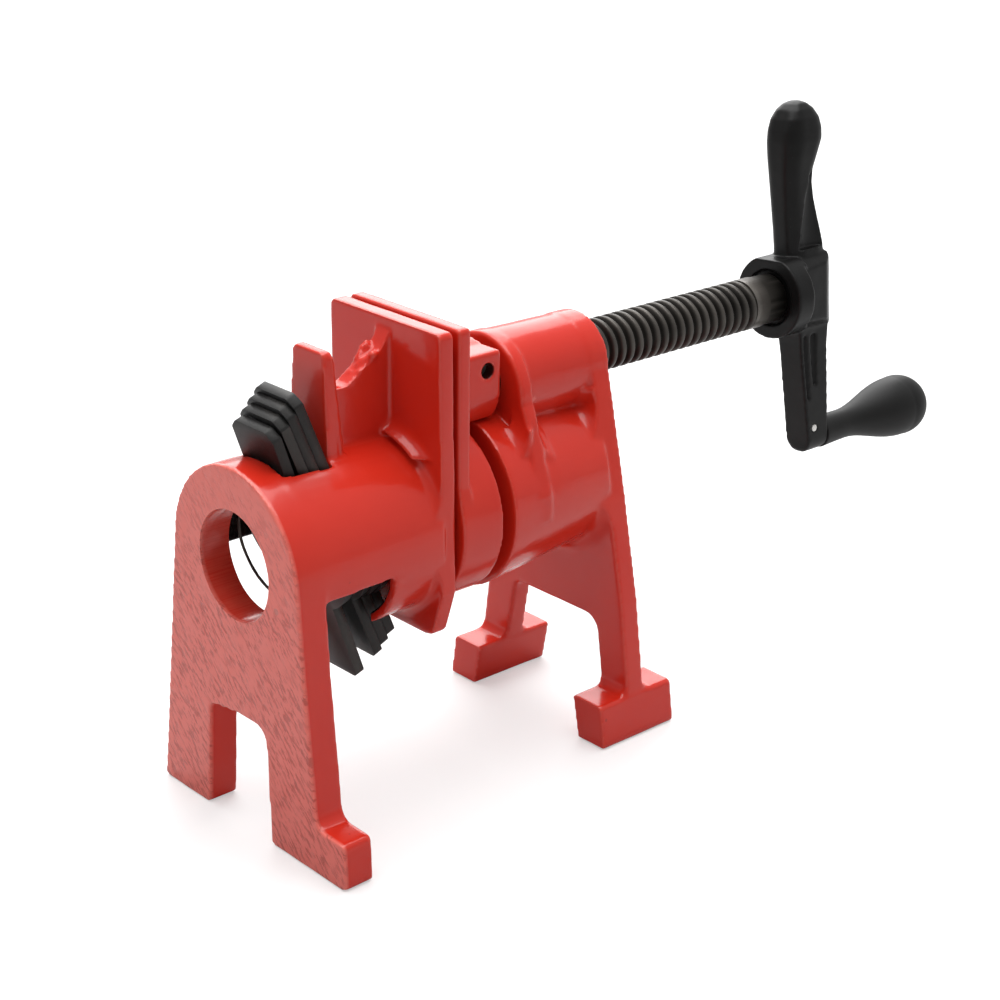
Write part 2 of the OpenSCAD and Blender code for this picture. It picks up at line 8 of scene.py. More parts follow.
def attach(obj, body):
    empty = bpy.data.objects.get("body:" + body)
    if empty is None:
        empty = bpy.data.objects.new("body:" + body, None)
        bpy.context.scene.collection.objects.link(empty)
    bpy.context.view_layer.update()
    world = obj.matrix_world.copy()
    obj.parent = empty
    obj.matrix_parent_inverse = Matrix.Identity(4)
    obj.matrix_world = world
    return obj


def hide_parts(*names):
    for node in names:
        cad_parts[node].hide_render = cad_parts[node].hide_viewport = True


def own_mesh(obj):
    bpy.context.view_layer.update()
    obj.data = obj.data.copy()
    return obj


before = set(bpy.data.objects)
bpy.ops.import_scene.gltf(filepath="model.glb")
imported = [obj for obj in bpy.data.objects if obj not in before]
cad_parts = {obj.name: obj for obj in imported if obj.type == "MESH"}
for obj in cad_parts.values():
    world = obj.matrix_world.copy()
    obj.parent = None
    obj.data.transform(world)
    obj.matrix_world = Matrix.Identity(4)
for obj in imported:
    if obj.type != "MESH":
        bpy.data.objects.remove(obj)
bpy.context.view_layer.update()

# ---------------------------------------------------------------- Camera
# The photograph's viewpoint: a long lens a little above the clamp, off the
# tail jaw's front corner. Places are in metres from a point on the pipe's axis.

camera_data = bpy.data.cameras.new("photo_camera")
camera_data.lens = 75.5
camera_data.sensor_width = 36.0
camera = bpy.data.objects.new("photo_camera", camera_data)
bpy.context.scene.collection.objects.link(camera)
view_azimuth = math.radians(-41.99)
view_elevation = math.radians(21.81)
view_roll = math.radians(0.54)
away = Vector((math.sin(view_azimuth) * math.cos(view_elevation),
               -math.cos(view_azimuth) * math.cos(view_elevation),
               math.sin(view_elevation)))
camera.location = (-0.2527, -0.3731, 0.1958)
camera.rotation_mode = "QUATERNION"
camera.rotation_quaternion = away.to_track_quat("Z", "Y") @ Quaternion((0, 0, 1), view_roll)
bpy.context.scene.camera = camera

# ---------------------------------------------------------------- Floor and light
# A pale table in a white room. A wide soft light hangs overhead, another
# stands behind on the crank's side, and a faint one stands beyond the tail.
# The room's own light is strongest from the crank's far side.

bench_z = -0.069

bpy.ops.mesh.primitive_plane_add(size=12.0, location=(0.1, 0.0, bench_z - 0.0002))
floor = bpy.context.object
floor.name = "floor"
floor_paint = bpy.data.materials.new("pale_table")
floor_paint.use_nodes = True
floor_shader = floor_paint.node_tree.nodes["Principled BSDF"]
floor_shader.inputs["Base Color"].default_value = (0.55, 0.55, 0.55, 1)
floor_shader.inputs["Roughness"].default_value = 0.7
floor_shader.inputs["Specular IOR Level"].default_value = 0.1
floor_shader.inputs["Emission Color"].default_value = (1, 1, 1, 1)
floor_seen = floor_paint.node_tree.nodes.new("ShaderNodeLightPath")
floor_glow = floor_paint.node_tree.nodes.new("ShaderNodeMath")
floor_glow.operation = "MULTIPLY"
floor_glow.inputs[1].default_value = 0.42
floor_paint.node_tree.links.new(floor_seen.outputs["Is Camera Ray"], floor_glow.inputs[0])
floor_paint.node_tree.links.new(floor_glow.outputs[0], floor_shader.inputs["Emission Strength"])
floor.data.materials.append(floor_paint)


def soft_light(name, place, aim, size, power):
    """A square soft light at place, facing aim. Metres and watts."""
    data = bpy.data.lights.new(name, "AREA")
    data.shape = "SQUARE"
    data.size = size
    data.energy = power
    lamp = bpy.data.objects.new(name, data)
    lamp.location = place
    lamp.rotation_euler = (Vector(aim) - Vector(place)).to_track_quat("-Z", "Y").to_euler()
    bpy.context.scene.collection.objects.link(lamp)


clamp_middle = (0.11, 0.0, 0.0)
soft_light("overhead_light", (0.15, 0.1, 1.25), clamp_middle, size=1.3, power=20.0)
soft_light("left_light", (-1.0, 0.25, 0.55), clamp_middle, size=0.9, power=0.9)
soft_light("back_light", (0.85, 1.0, 0.85), clamp_middle, size=1.3, power=15.0)

room = bpy.data.worlds.new("white_room")
bpy.context.scene.world = room
room.use_nodes = True
room_nodes = room.node_tree.nodes
room_links = room.node_tree.links
room_light = room_nodes["Background"]
room_where = room_nodes.new("ShaderNodeTexCoord")
room_across = room_nodes.new("ShaderNodeVectorMath")
room_across.operation = "DOT_PRODUCT"
room_across.inputs[1].default_value = (0.75, 0.35, 0.5)
room_ramp = room_nodes.new("ShaderNodeMapRange")
room_ramp.inputs["From Min"].default_value = -0.9
room_ramp.inputs["From Max"].default_value = 0.9
room_ramp.inputs["To Min"].default_value = 0.22
room_ramp.inputs["To Max"].default_value = 0.75
room_seen = room_nodes.new("ShaderNodeLightPath")
room_choice = room_nodes.new("ShaderNodeMix")
room_choice.inputs["B"].default_value = 1.0
room_links.new(room_where.outputs["Generated"], room_across.inputs[0])
room_links.new(room_across.outputs["Value"], room_ramp.inputs["Value"])
room_links.new(room_seen.outputs["Is Camera Ray"], room_choice.inputs["Factor"])
room_links.new(room_ramp.outputs["Result"], room_choice.inputs["A"])
room_links.new(room_choice.outputs["Result"], room_light.inputs["Strength"])
room_light.inputs["Color"].default_value = (1, 1, 1, 1)
bpy.context.scene.view_settings.view_transform = "Standard"

# ---------------------------------------------------------------- Tail casting
# The tail jaw is one iron casting: leg plate, hollow barrel, thumb fin, web
# and jaw plate. It is ground at the leg plate's face, drilled for the pipe
# and dipped in red enamel, which rounds every edge and fills the corners.

mm = 0.001


def nothing_selected():
    """Deselects every object."""
    for o in bpy.context.selected_objects:
        o.select_set(False)


def only(piece):
    """Makes piece the one selected and active object."""
    nothing_selected()
    piece.select_set(True)
    bpy.context.view_layer.objects.active = piece


def casting_blank(node, name):
    """A merged copy of the CAD node, to be worked up into the finished piece."""
    nothing_selected()
    blank = bpy.data.objects.new(name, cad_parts[node].data.copy())
    bpy.context.scene.collection.objects.link(blank)
    only(blank)
    bpy.ops.object.mode_set(mode="EDIT")
    bpy.ops.mesh.select_all(action="SELECT")
    bpy.ops.mesh.remove_doubles(threshold=0.000002)
    bpy.ops.object.mode_set(mode="OBJECT")
    blank.data.materials.clear()
    return blank


def rod(x, length, r, y=0.0, z=0.0, sides=128):
    """A round bar along X; x is its low end. Sizes in millimetres."""
    nothing_selected()
    bpy.ops.mesh.primitive_cone_add(
        vertices=sides, radius1=r * mm, radius2=r * mm, depth=length * mm,
        location=((x + length / 2) * mm, y * mm, z * mm), rotation=(0, math.pi / 2, 0))
    bpy.ops.object.transform_apply(location=True, rotation=True, scale=True)
    return bpy.context.object


def block(low, high):
    """A box between two corners, in millimetres."""
    nothing_selected()
    middle = [(a + b) / 2 * mm for a, b in zip(low, high)]
    bpy.ops.mesh.primitive_cube_add(size=1.0, location=middle)
    bpy.context.object.scale = [(b - a) * mm for a, b in zip(low, high)]
    bpy.ops.object.transform_apply(location=True, rotation=True, scale=True)
    return bpy.context.object


def lathe(profile, y=0.0, z=0.0, steps=128):
    """Spins a closed profile of (x, radius) points about an axis along X, in millimetres."""
    nothing_selected()
    bpy.ops.mesh.primitive_plane_add(size=mm, location=(0, 0, 0))
    turned = bpy.context.object
    bpy.ops.object.mode_set(mode="EDIT")
    bpy.ops.mesh.select_all(action="SELECT")
    bpy.ops.mesh.merge(type="CENTER")
    x, r = profile[0]
    bpy.ops.transform.translate(value=(x * mm, 0, r * mm))
    for next_x, next_r in list(profile[1:]) + [profile[0]]:
        bpy.ops.mesh.extrude_region_move(
            TRANSFORM_OT_translate={"value": ((next_x - x) * mm, 0, (next_r - r) * mm)})
        x, r = next_x, next_r
    bpy.ops.mesh.select_all(action="SELECT")
    bpy.ops.mesh.spin(steps=steps, angle=2 * math.pi, center=(0, 0, 0), axis=(1, 0, 0))
    bpy.ops.mesh.select_all(action="SELECT")
    bpy.ops.mesh.remove_doubles(threshold=0.000005)
    bpy.ops.mesh.normals_make_consistent(inside=False)
    bpy.ops.transform.translate(value=(0, y * mm, z * mm))
    bpy.ops.object.mode_set(mode="OBJECT")
    return turned


def corner_fillet(plate_x, facing, round_r, size):
    """A concave ring of metal in the corner where a round of radius round_r
    meets a plate; facing is -1 if the ring lies on the plate's low side. Its
    back is sunk in both, so that they melt together."""
    in_plate = plate_x - facing * 0.8
    in_round = round_r - 1.0
    arc = [(plate_x + facing * size * (1 - math.sin(a)), round_r + size * (1 - math.cos(a)))
           for a in [math.radians(t) for t in range(0, 91, 15)]]
    return lathe([(in_plate, in_round), (arc[0][0], in_round)] + arc + [(in_plate, arc[-1][1])])


def keep_part(piece, point, inward):
    """Cuts piece along a plane and keeps the side that inward points to."""
    only(piece)
    bpy.ops.object.mode_set(mode="EDIT")
    bpy.ops.mesh.select_all(action="SELECT")
    bpy.ops.mesh.bisect(plane_co=[c * mm for c in point], plane_no=inward, use_fill=True,
                        clear_inner=True)
    bpy.ops.object.mode_set(mode="OBJECT")
    return piece


def weld(piece, extras):
    """Joins extra metal to piece."""
    nothing_selected()
    for o in extras:
        o.select_set(True)
    piece.select_set(True)
    bpy.context.view_layer.objects.active = piece
    bpy.ops.object.join()
    return piece


def modifier(piece, kind, **values):
    """Adds one modifier with its values, and applies it."""
    only(piece)
    added = piece.modifiers.new(kind.lower(), kind)
    for name, value in values.items():
        setattr(added, name, value)
    bpy.ops.object.modifier_apply(modifier=added.name)


def cast_skin(piece, grain, passes, size, depth, seed, faces):
    """Melts the pieces of a casting into one skin of small squares, grain wide,
    and rounds its corners in a number of passes. Waves of a size and depth
    make it uneven, and its mesh is thinned to a number of triangles."""
    modifier(piece, "REMESH", mode="VOXEL", voxel_size=grain * mm)
    modifier(piece, "SMOOTH", factor=0.5, iterations=passes)
    sand = bpy.data.textures.new(piece.name + "_sand", "CLOUDS")
    sand.noise_scale = size * mm
    sand.noise_depth = 1
    sand.noise_basis = "IMPROVED_PERLIN"
    empty = bpy.data.objects.new(piece.name + "_sand_place", None)
    empty.location = (seed * 0.37, seed * 0.11, seed * 0.23)
    bpy.context.scene.collection.objects.link(empty)
    modifier(piece, "DISPLACE", texture=sand, texture_coords="OBJECT",
             texture_coords_object=empty, strength=depth * mm, mid_level=0.5)
    bpy.data.objects.remove(empty)
    count = len(piece.data.polygons) * 2
    if count > faces:
        modifier(piece, "DECIMATE", ratio=faces / count)


def cut_out(piece, tool):
    """Machines piece with a solid cutter, which is used up."""
    modifier(piece, "BOOLEAN", object=tool, operation="DIFFERENCE", solver="EXACT")
    bpy.data.objects.remove(tool)


def finish_piece(piece, name, body, paint, nodes, smooth=40):
    """Names, shades and paints a piece, and sets it on its body in place of
    its CAD nodes. Edges sharper than smooth degrees stay crisp."""
    only(piece)
    bpy.ops.object.transform_apply(location=True, rotation=True, scale=True)
    bpy.ops.object.shade_smooth_by_angle(angle=math.radians(smooth))
    piece.name = name
    piece.data.name = name
    piece.data.materials.clear()
    piece.data.materials.append(paint)
    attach(piece, body)
    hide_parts(*nodes)


def new_node(tree, kind, links=None, **values):
    """Adds a node, sets its plain inputs by name and links the others."""
    made = tree.nodes.new(kind)
    for name, value in values.items():
        setattr(made, name, value)
    for socket, value in (links or {}).items():
        if isinstance(value, bpy.types.NodeSocket):
            tree.links.new(value, made.inputs[socket])
        else:
            made.inputs[socket].default_value = value
    return made


def group_tree(name, inputs, outputs):
    """An empty shader group with its sockets; returns tree, input and output nodes."""
    tree = bpy.data.node_groups.new(name, "ShaderNodeTree")
    for socket, kind, value in inputs:
        made = tree.interface.new_socket(name=socket, in_out="INPUT", socket_type=kind)
        made.default_value = value
    for socket, kind in outputs:
        tree.interface.new_socket(name=socket, in_out="OUTPUT", socket_type=kind)
    return tree, tree.nodes.new("NodeGroupInput"), tree.nodes.new("NodeGroupOutput")


def cast_surface_group():
    """Waves, orange peel and sand pits of enamel over cast iron."""
    tree, given, out = group_tree(
        "cast_surface",
        [("Wave", "NodeSocketFloat", 0.5), ("Peel", "NodeSocketFloat", 0.2),
         ("Pits", "NodeSocketFloat", 0.5)],
        [("Height", "NodeSocketFloat"), ("Pit Mask", "NodeSocketFloat"), ("Cloud", "NodeSocketFloat")])
    place = new_node(tree, "ShaderNodeTexCoord").outputs["Object"]
    wave = new_node(tree, "ShaderNodeTexNoise", {"Vector": place, "Scale": 110.0, "Detail": 2.0})
    peel = new_node(tree, "ShaderNodeTexNoise", {"Vector": place, "Scale": 700.0, "Detail": 2.0})
    cloud = new_node(tree, "ShaderNodeTexNoise", {"Vector": place, "Scale": 28.0, "Detail": 3.0})
    pit = new_node(tree, "ShaderNodeTexVoronoi", {"Vector": place, "Scale": 190.0})
    chance = new_node(tree, "ShaderNodeSeparateColor", {"Color": pit.outputs["Color"]})
    size = new_node(tree, "ShaderNodeMapRange",
                    {"Value": chance.outputs["Red"], "From Min": 0.86, "From Max": 1.0,
                     "To Min": 0.0, "To Max": 0.22})
    inside = new_node(tree, "ShaderNodeMath", {0: size.outputs[0], 1: pit.outputs["Distance"]},
                      operation="SUBTRACT")
    deep = new_node(tree, "ShaderNodeMapRange",
                    {"Value": inside.outputs[0], "From Min": 0.0, "From Max": 0.05,
                     "To Min": 0.0, "To Max": 1.0})
    picked = new_node(tree, "ShaderNodeMapRange",
                      {"Value": cloud.outputs["Fac"], "From Min": 0.5, "From Max": 0.6,
                       "To Min": 0.0, "To Max": 1.0})
    mask = new_node(tree, "ShaderNodeMath", {0: deep.outputs[0], 1: picked.outputs[0]},
                    operation="MULTIPLY")
    high = new_node(tree, "ShaderNodeMath", {0: wave.outputs["Fac"], 1: given.outputs["Wave"]},
                    operation="MULTIPLY")
    fine = new_node(tree, "ShaderNodeMath", {0: peel.outputs["Fac"], 1: given.outputs["Peel"]},
                    operation="MULTIPLY")
    both = new_node(tree, "ShaderNodeMath", {0: high.outputs[0], 1: fine.outputs[0]},
                    operation="ADD")
    sunk = new_node(tree, "ShaderNodeMath", {0: mask.outputs[0], 1: given.outputs["Pits"]},
                    operation="MULTIPLY")
    total = new_node(tree, "ShaderNodeMath", {0: both.outputs[0], 1: sunk.outputs[0]},
                     operation="SUBTRACT")
    tree.links.new(total.outputs[0], out.inputs["Height"])
    tree.links.new(mask.outputs[0], out.inputs["Pit Mask"])
    tree.links.new(cloud.outputs["Fac"], out.inputs["Cloud"])
    return tree


cast_surface = cast_surface_group()


def red_enamel(name, shaded_bore, scratched_below=None):
    """Glossy red enamel on cast iron, lighter pink along sharp outward edges as a
    painted highlight. The second argument is a round hollow painted near-black
    inside, as painted shade: its centre, the directions across it, its radius and
    where it begins and ends in x, in metres. With scratched_below the face at x = 0
    has file marks, fullest below that height, and the whole face is lightened pink:
    ground paint and a painted sheen."""
    deep_red = (0.54, 0.015, 0.007, 1)
    full_red = (0.64, 0.030, 0.013, 1)
    # A lighter pink for sharp outward edges: a painted highlight.
    edge_highlight_red = (0.70, 0.09, 0.06, 1)
    pit_brown = (0.16, 0.01, 0.007, 1)
    # Near-black for the inside of bores: painted shade.
    bore_shade_black = (0.012, 0.007, 0.006, 1)
    # Pale pink for the filed face: ground paint and a painted sheen.
    ground_and_sheen_pink = (0.95, 0.27, 0.22, 1)
    mark_red = (0.27, 0.02, 0.014, 1)
    rim = 0.0003
    paint = bpy.data.materials.new(name)
    paint.use_nodes = True
    tree = paint.node_tree
    shader = tree.nodes["Principled BSDF"]
    skin = new_node(tree, "ShaderNodeGroup", node_tree=cast_surface)
    skin.inputs["Wave"].default_value = 0.55
    skin.inputs["Peel"].default_value = 0.1
    skin.inputs["Pits"].default_value = 0.8
    shape = tree.nodes.new("ShaderNodeNewGeometry")
    # Sharp outward edges are mixed towards the lighter pink: a painted highlight.
    edge_highlight = new_node(tree, "ShaderNodeMapRange",
                    {"Value": shape.outputs["Pointiness"], "From Min": 0.52, "From Max": 0.6})
    tone = new_node(tree, "ShaderNodeMix",
                    {"Factor": skin.outputs["Cloud"], "A": deep_red, "B": full_red},
                    data_type="RGBA")
    lit = new_node(tree, "ShaderNodeMix",
                   {"Factor": edge_highlight.outputs[0], "A": tone.outputs["Result"], "B": edge_highlight_red},
                   data_type="RGBA")
    dirty = new_node(tree, "ShaderNodeMix",
                     {"Factor": skin.outputs["Pit Mask"], "A": lit.outputs["Result"],
                      "B": pit_brown}, data_type="RGBA")
    # Inside the given bore the colour goes to near-black: painted shade.
    centre, across, reach, (begins, ends) = shaded_bore
    place = new_node(tree, "ShaderNodeTexCoord").outputs["Object"]
    where = new_node(tree, "ShaderNodeSeparateXYZ", {"Vector": place})
    offset = new_node(tree, "ShaderNodeVectorMath", {0: place, 1: centre}, operation="SUBTRACT")
    flat = new_node(tree, "ShaderNodeVectorMath", {0: offset.outputs[0], 1: across},
                    operation="MULTIPLY")
    radius = new_node(tree, "ShaderNodeVectorMath", {0: flat.outputs[0]}, operation="LENGTH")
    hollow = new_node(tree, "ShaderNodeMapRange",
                      {"Value": radius.outputs["Value"], "From Min": reach, "From Max": reach + rim,
                       "To Min": 1.0, "To Max": 0.0})
    begun = new_node(tree, "ShaderNodeMapRange",
                     {"Value": where.outputs["X"], "From Min": begins, "From Max": begins + rim})
    ended = new_node(tree, "ShaderNodeMapRange",
                     {"Value": where.outputs["X"], "From Min": ends, "From Max": ends + rim,
                      "To Min": 1.0, "To Max": 0.0})
    middle = new_node(tree, "ShaderNodeMath", {0: begun.outputs[0], 1: ended.outputs[0]},
                      operation="MULTIPLY")
    bore_shade = new_node(tree, "ShaderNodeMath", {0: hollow.outputs[0], 1: middle.outputs[0]},
                      operation="MULTIPLY")
    bore_shaded = new_node(tree, "ShaderNodeMix",
                     {"Factor": bore_shade.outputs[0], "A": dirty.outputs["Result"], "B": bore_shade_black},
                     data_type="RGBA")
    tree.links.new(bore_shaded.outputs["Result"], shader.inputs["Base Color"])
    rough = new_node(tree, "ShaderNodeMapRange",
                     {"Value": skin.outputs["Cloud"], "To Min": 0.2, "To Max": 0.265})
    tree.links.new(rough.outputs[0], shader.inputs["Roughness"])
    open_face = new_node(tree, "ShaderNodeMapRange",
                         {"Value": shape.outputs["Pointiness"], "From Min": 0.43, "From Max": 0.475})
    varnish = new_node(tree, "ShaderNodeMath", {0: open_face.outputs[0], 1: 0.22},
                       operation="MULTIPLY")
    shader.inputs["Specular IOR Level"].default_value = 0.32
    tree.links.new(varnish.outputs[0], shader.inputs["Coat Weight"])
    shader.inputs["Coat Roughness"].default_value = 0.08
    height = skin.outputs["Height"]
    if scratched_below is not None:
        turned = new_node(tree, "ShaderNodeVectorRotate", {"Vector": place, "Angle": math.radians(44)},
                          rotation_type="X_AXIS")
        drawn = new_node(tree, "ShaderNodeVectorMath", {0: turned.outputs[0], 1: (0.3, 1.0, 0.27)},
                         operation="MULTIPLY")
        marks = new_node(tree, "ShaderNodeTexNoise",
                         {"Vector": drawn.outputs[0], "Scale": 1050.0, "Detail": 3.0, "Roughness": 0.6})
        patch = new_node(tree, "ShaderNodeTexNoise", {"Vector": place, "Scale": 130.0, "Detail": 2.0})
        face = new_node(tree, "ShaderNodeMapRange",
                        {"Value": where.outputs["X"], "From Min": 0.0004, "From Max": 0.0012,
                         "To Min": 1.0, "To Max": 0.0})
        low = new_node(tree, "ShaderNodeMapRange",
                       {"Value": where.outputs["Z"], "From Min": scratched_below,
                        "From Max": scratched_below + 0.03, "To Min": 1.0, "To Max": 0.35})
        broken = new_node(tree, "ShaderNodeMapRange",
                          {"Value": patch.outputs["Fac"], "From Min": 0.3, "From Max": 0.52})
        area = new_node(tree, "ShaderNodeMath", {0: face.outputs[0], 1: low.outputs[0]},
                        operation="MULTIPLY")
        spots = new_node(tree, "ShaderNodeMath", {0: area.outputs[0], 1: broken.outputs[0]},
                         operation="MULTIPLY")
        sharp = new_node(tree, "ShaderNodeMapRange",
                         {"Value": marks.outputs["Fac"], "From Min": 0.5, "From Max": 0.6})
        filed = new_node(tree, "ShaderNodeMath", {0: sharp.outputs[0], 1: spots.outputs[0]},
                         operation="MULTIPLY")
        more = new_node(tree, "ShaderNodeMath", {0: filed.outputs[0], 1: -1.1},
                        operation="MULTIPLY")
        height = new_node(tree, "ShaderNodeMath", {0: height, 1: more.outputs[0]},
                          operation="ADD").outputs[0]
        # The whole face is mixed towards the pale pink: ground paint and a painted sheen.
        face_sheen = new_node(tree, "ShaderNodeMath", {0: face.outputs[0], 1: 0.52},
                          operation="MULTIPLY")
        face_sheened = new_node(tree, "ShaderNodeMix",
                          {"Factor": face_sheen.outputs[0], "A": bore_shaded.outputs["Result"],
                           "B": ground_and_sheen_pink}, data_type="RGBA")
        darker = new_node(tree, "ShaderNodeMath", {0: filed.outputs[0], 1: 0.5},
                          operation="MULTIPLY")
        marked = new_node(tree, "ShaderNodeMix",
                          {"Factor": darker.outputs[0], "A": face_sheened.outputs["Result"],
                           "B": mark_red}, data_type="RGBA")
        tree.links.new(marked.outputs["Result"], shader.inputs["Base Color"])
    bump = new_node(tree, "ShaderNodeBump", {"Height": height, "Strength": 0.55, "Distance": 0.0003})
    tree.links.new(bump.outputs["Normal"], shader.inputs["Normal"])
    return paint


pipe_hole_r = 13.8
plug_r = 14.2
leg_plate_t = 8.4
neck_len = 6.2
jaw_plate_x = 45.4
tail_end_x = 49.9
web_side_y = 2.5
web_corner = 4.2
web_corner_y = 8.0
web_low_z = 25.0
web_top_z = 56.0
plate_ring_r = 25.0
plate_ring_size = 3.0
fin_low = (25.0, -6.4, 21.0)
fin_high = (28.6, 6.2, 47.0)
fin_lean = 0.11
ridge_from = Vector((33.5, 0, 37.6))
ridge_to = Vector((41.8, 0, 46.2))
ridge_lumps = 16
ridge_half_w = 2.1
lump_sink = 0.9

tail = casting_blank("tail_jaw", "tail_casting")
# The CAD's wide fillets beside the web come off, down to a sharper corner,
# and the ring round the barrel that goes with them is put back.
for side in (-1, 1):
    corner = sorted((side * web_side_y, side * web_corner_y))
    cut_out(tail, block((jaw_plate_x - web_corner, corner[0], web_low_z),
                        (jaw_plate_x, corner[1], web_top_z)))
fin_root = block(fin_low, fin_high)
keep_part(fin_root, (fin_high[0], 0, 22.0), (-1, 0, -fin_lean))
plate_ring = corner_fillet(jaw_plate_x, -1, plate_ring_r, plate_ring_size)
keep_part(plate_ring, (0, 0, 20.0), (0, 0, 1))
# Plugs fill the two bores while the skin is made, and are bored out after it.
extras = [rod(0.0, leg_plate_t, plug_r),
          rod(jaw_plate_x - neck_len, tail_end_x - jaw_plate_x + neck_len, plug_r),
          fin_root, plate_ring]
ridge_bumps = random.Random(11)
for step in range(ridge_lumps):
    spot = ridge_from.lerp(ridge_to, step / (ridge_lumps - 1))
    nothing_selected()
    bpy.ops.mesh.primitive_ico_sphere_add(
        subdivisions=2, radius=ridge_bumps.uniform(0.7, 1.2) * mm,
        location=(spot.x * mm + ridge_bumps.uniform(-0.3, 0.3) * mm,
                  ridge_bumps.uniform(-ridge_half_w, ridge_half_w) * mm,
                  (spot.z - lump_sink + ridge_bumps.uniform(-0.2, 0.35)) * mm))
    extras.append(bpy.context.object)
weld(tail, extras)
cast_skin(tail, grain=0.5, passes=7, size=9.0, depth=0.22, seed=1, faces=180000)
cut_out(tail, rod(-1.0, tail_end_x + 2.0, pipe_hole_r, sides=160))
# The hollow inside the barrel, between the leg plate and the jaw plate, is painted near-black as shade.
barrel_hollow = ((0, 0, 0), (0, 1, 1), 0.0209, (0.0088, 0.039))
# Its face at x = 0 is lightened pink: ground paint and a painted sheen.
tail_red = red_enamel("red_enamel_filed_with_sheen", barrel_hollow, scratched_below=-0.012)
finish_piece(tail, "tail_casting", "tail", tail_red, ["tail_jaw"])

# ---------------------------------------------------------------- Clutch plates
# Four steel plates punched from strip, each with a round middle and two
# tongues, blackened after punching. Handling has polished their edges.


def edge_mask(tree, low, high):
    """Bright along the outward edges of a piece."""
    shape = tree.nodes.new("ShaderNodeNewGeometry")
    return new_node(tree, "ShaderNodeMapRange",
                    {"Value": shape.outputs["Pointiness"], "From Min": low, "From Max": high}).outputs[0]


def metal_grain_group():
    """Rolled or handled metal: cloudy patches and fine grain."""
    tree, given, out = group_tree(
        "metal_grain",
        [("Cloud Scale", "NodeSocketFloat", 90.0), ("Grain Scale", "NodeSocketFloat", 1400.0)],
        [("Cloud", "NodeSocketFloat"), ("Grain", "NodeSocketFloat")])
    place = new_node(tree, "ShaderNodeTexCoord").outputs["Object"]
    cloud = new_node(tree, "ShaderNodeTexNoise",
                     {"Vector": place, "Scale": given.outputs["Cloud Scale"], "Detail": 4.0})
    grain = new_node(tree, "ShaderNodeTexNoise",
                     {"Vector": place, "Scale": given.outputs["Grain Scale"], "Detail": 2.0})
    tree.links.new(cloud.outputs["Fac"], out.inputs["Cloud"])
    tree.links.new(grain.outputs["Fac"], out.inputs["Grain"])
    return tree


metal_grain = metal_grain_group()


def steel_finish(name, dark, light, edge_tone, metallic, rough_from, rough_to, bump_depth,
                 edges=(0.53, 0.6)):
    """Steel between a dark and a light tone, whose outward edges turn in patches to a
    third tone: wear, and on the screw's crests also a painted highlight.
    bump_depth is in millimetres."""
    paint = bpy.data.materials.new(name)
    paint.use_nodes = True
    tree = paint.node_tree
    shader = tree.nodes["Principled BSDF"]
    grain = new_node(tree, "ShaderNodeGroup", node_tree=metal_grain)
    tone = new_node(tree, "ShaderNodeMix", {"Factor": grain.outputs["Cloud"], "A": dark, "B": light},
                    data_type="RGBA")
    edge_patches = new_node(tree, "ShaderNodeMath", {0: edge_mask(tree, *edges), 1: grain.outputs["Cloud"]},
                    operation="MULTIPLY")
    final = new_node(tree, "ShaderNodeMix",
                     {"Factor": edge_patches.outputs[0], "A": tone.outputs["Result"], "B": edge_tone},
                     data_type="RGBA")
    tree.links.new(final.outputs["Result"], shader.inputs["Base Color"])
    shader.inputs["Metallic"].default_value = metallic
    shader.inputs["Specular IOR Level"].default_value = 0.33
    rough = new_node(tree, "ShaderNodeMapRange",
                     {"Value": grain.outputs["Cloud"], "To Min": rough_from, "To Max": rough_to})
    tree.links.new(rough.outputs[0], shader.inputs["Roughness"])
    bump = new_node(tree, "ShaderNodeBump", {"Height": grain.outputs["Grain"], "Strength": 0.4,
                                             "Distance": bump_depth * mm})
    tree.links.new(bump.outputs["Normal"], shader.inputs["Normal"])
    return paint


plate_black = steel_finish(
    "blackened_plate", dark=(0.004, 0.004, 0.0045, 1), light=(0.012, 0.0115, 0.011, 1),
    edge_tone=(0.07, 0.065, 0.06, 1), metallic=0.2, rough_from=0.36, rough_to=0.55, bump_depth=0.05)
for number in range(1, 5):
    plate = casting_blank("clutch_disc_%d" % number, "plate_%d" % number)
    modifier(plate, "BEVEL", width=0.28 * mm, segments=2, limit_method="ANGLE",
             angle_limit=math.radians(40))
    finish_piece(plate, "clutch_plate_%d" % number, "plate_%d" % number, plate_black,
                 ["clutch_disc_%d" % number], smooth=35)

# ---------------------------------------------------------------- Clutch spring
# A coil of thin steel wire between the leg plate and the front clutch plate.
# It keeps the pack tilted, and flattens when the plates are squeezed upright.

spring_steel = steel_finish(
    "oiled_spring_wire", dark=(0.055, 0.05, 0.045, 1), light=(0.10, 0.092, 0.082, 1),
    edge_tone=(0.2, 0.19, 0.17, 1), metallic=0.9, rough_from=0.3, rough_to=0.45, bump_depth=0.02)
spring = casting_blank("clutch_spring", "spring")
modifier(spring, "SUBSURF", levels=2)
finish_piece(spring, "clutch_spring_wire", "tail", spring_steel,
             ["clutch_spring"], smooth=180)
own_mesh(spring)

# ---------------------------------------------------------------- Sliding jaw casting
# The sliding jaw is one iron casting: a flat jaw plate, a ring that rides on
# the pipe and a boss with a flat top that holds the screw's plain end.

slide_x = 51.4
slide_ring_end = 64.0
boss_end = 73.0
boss_floor = 5.0
boss_hole_r = 5.65
pin_hole_r = 1.92
pin_hole_x = 69.0
pin_hole_z = 35.6
screw_z = 30.0

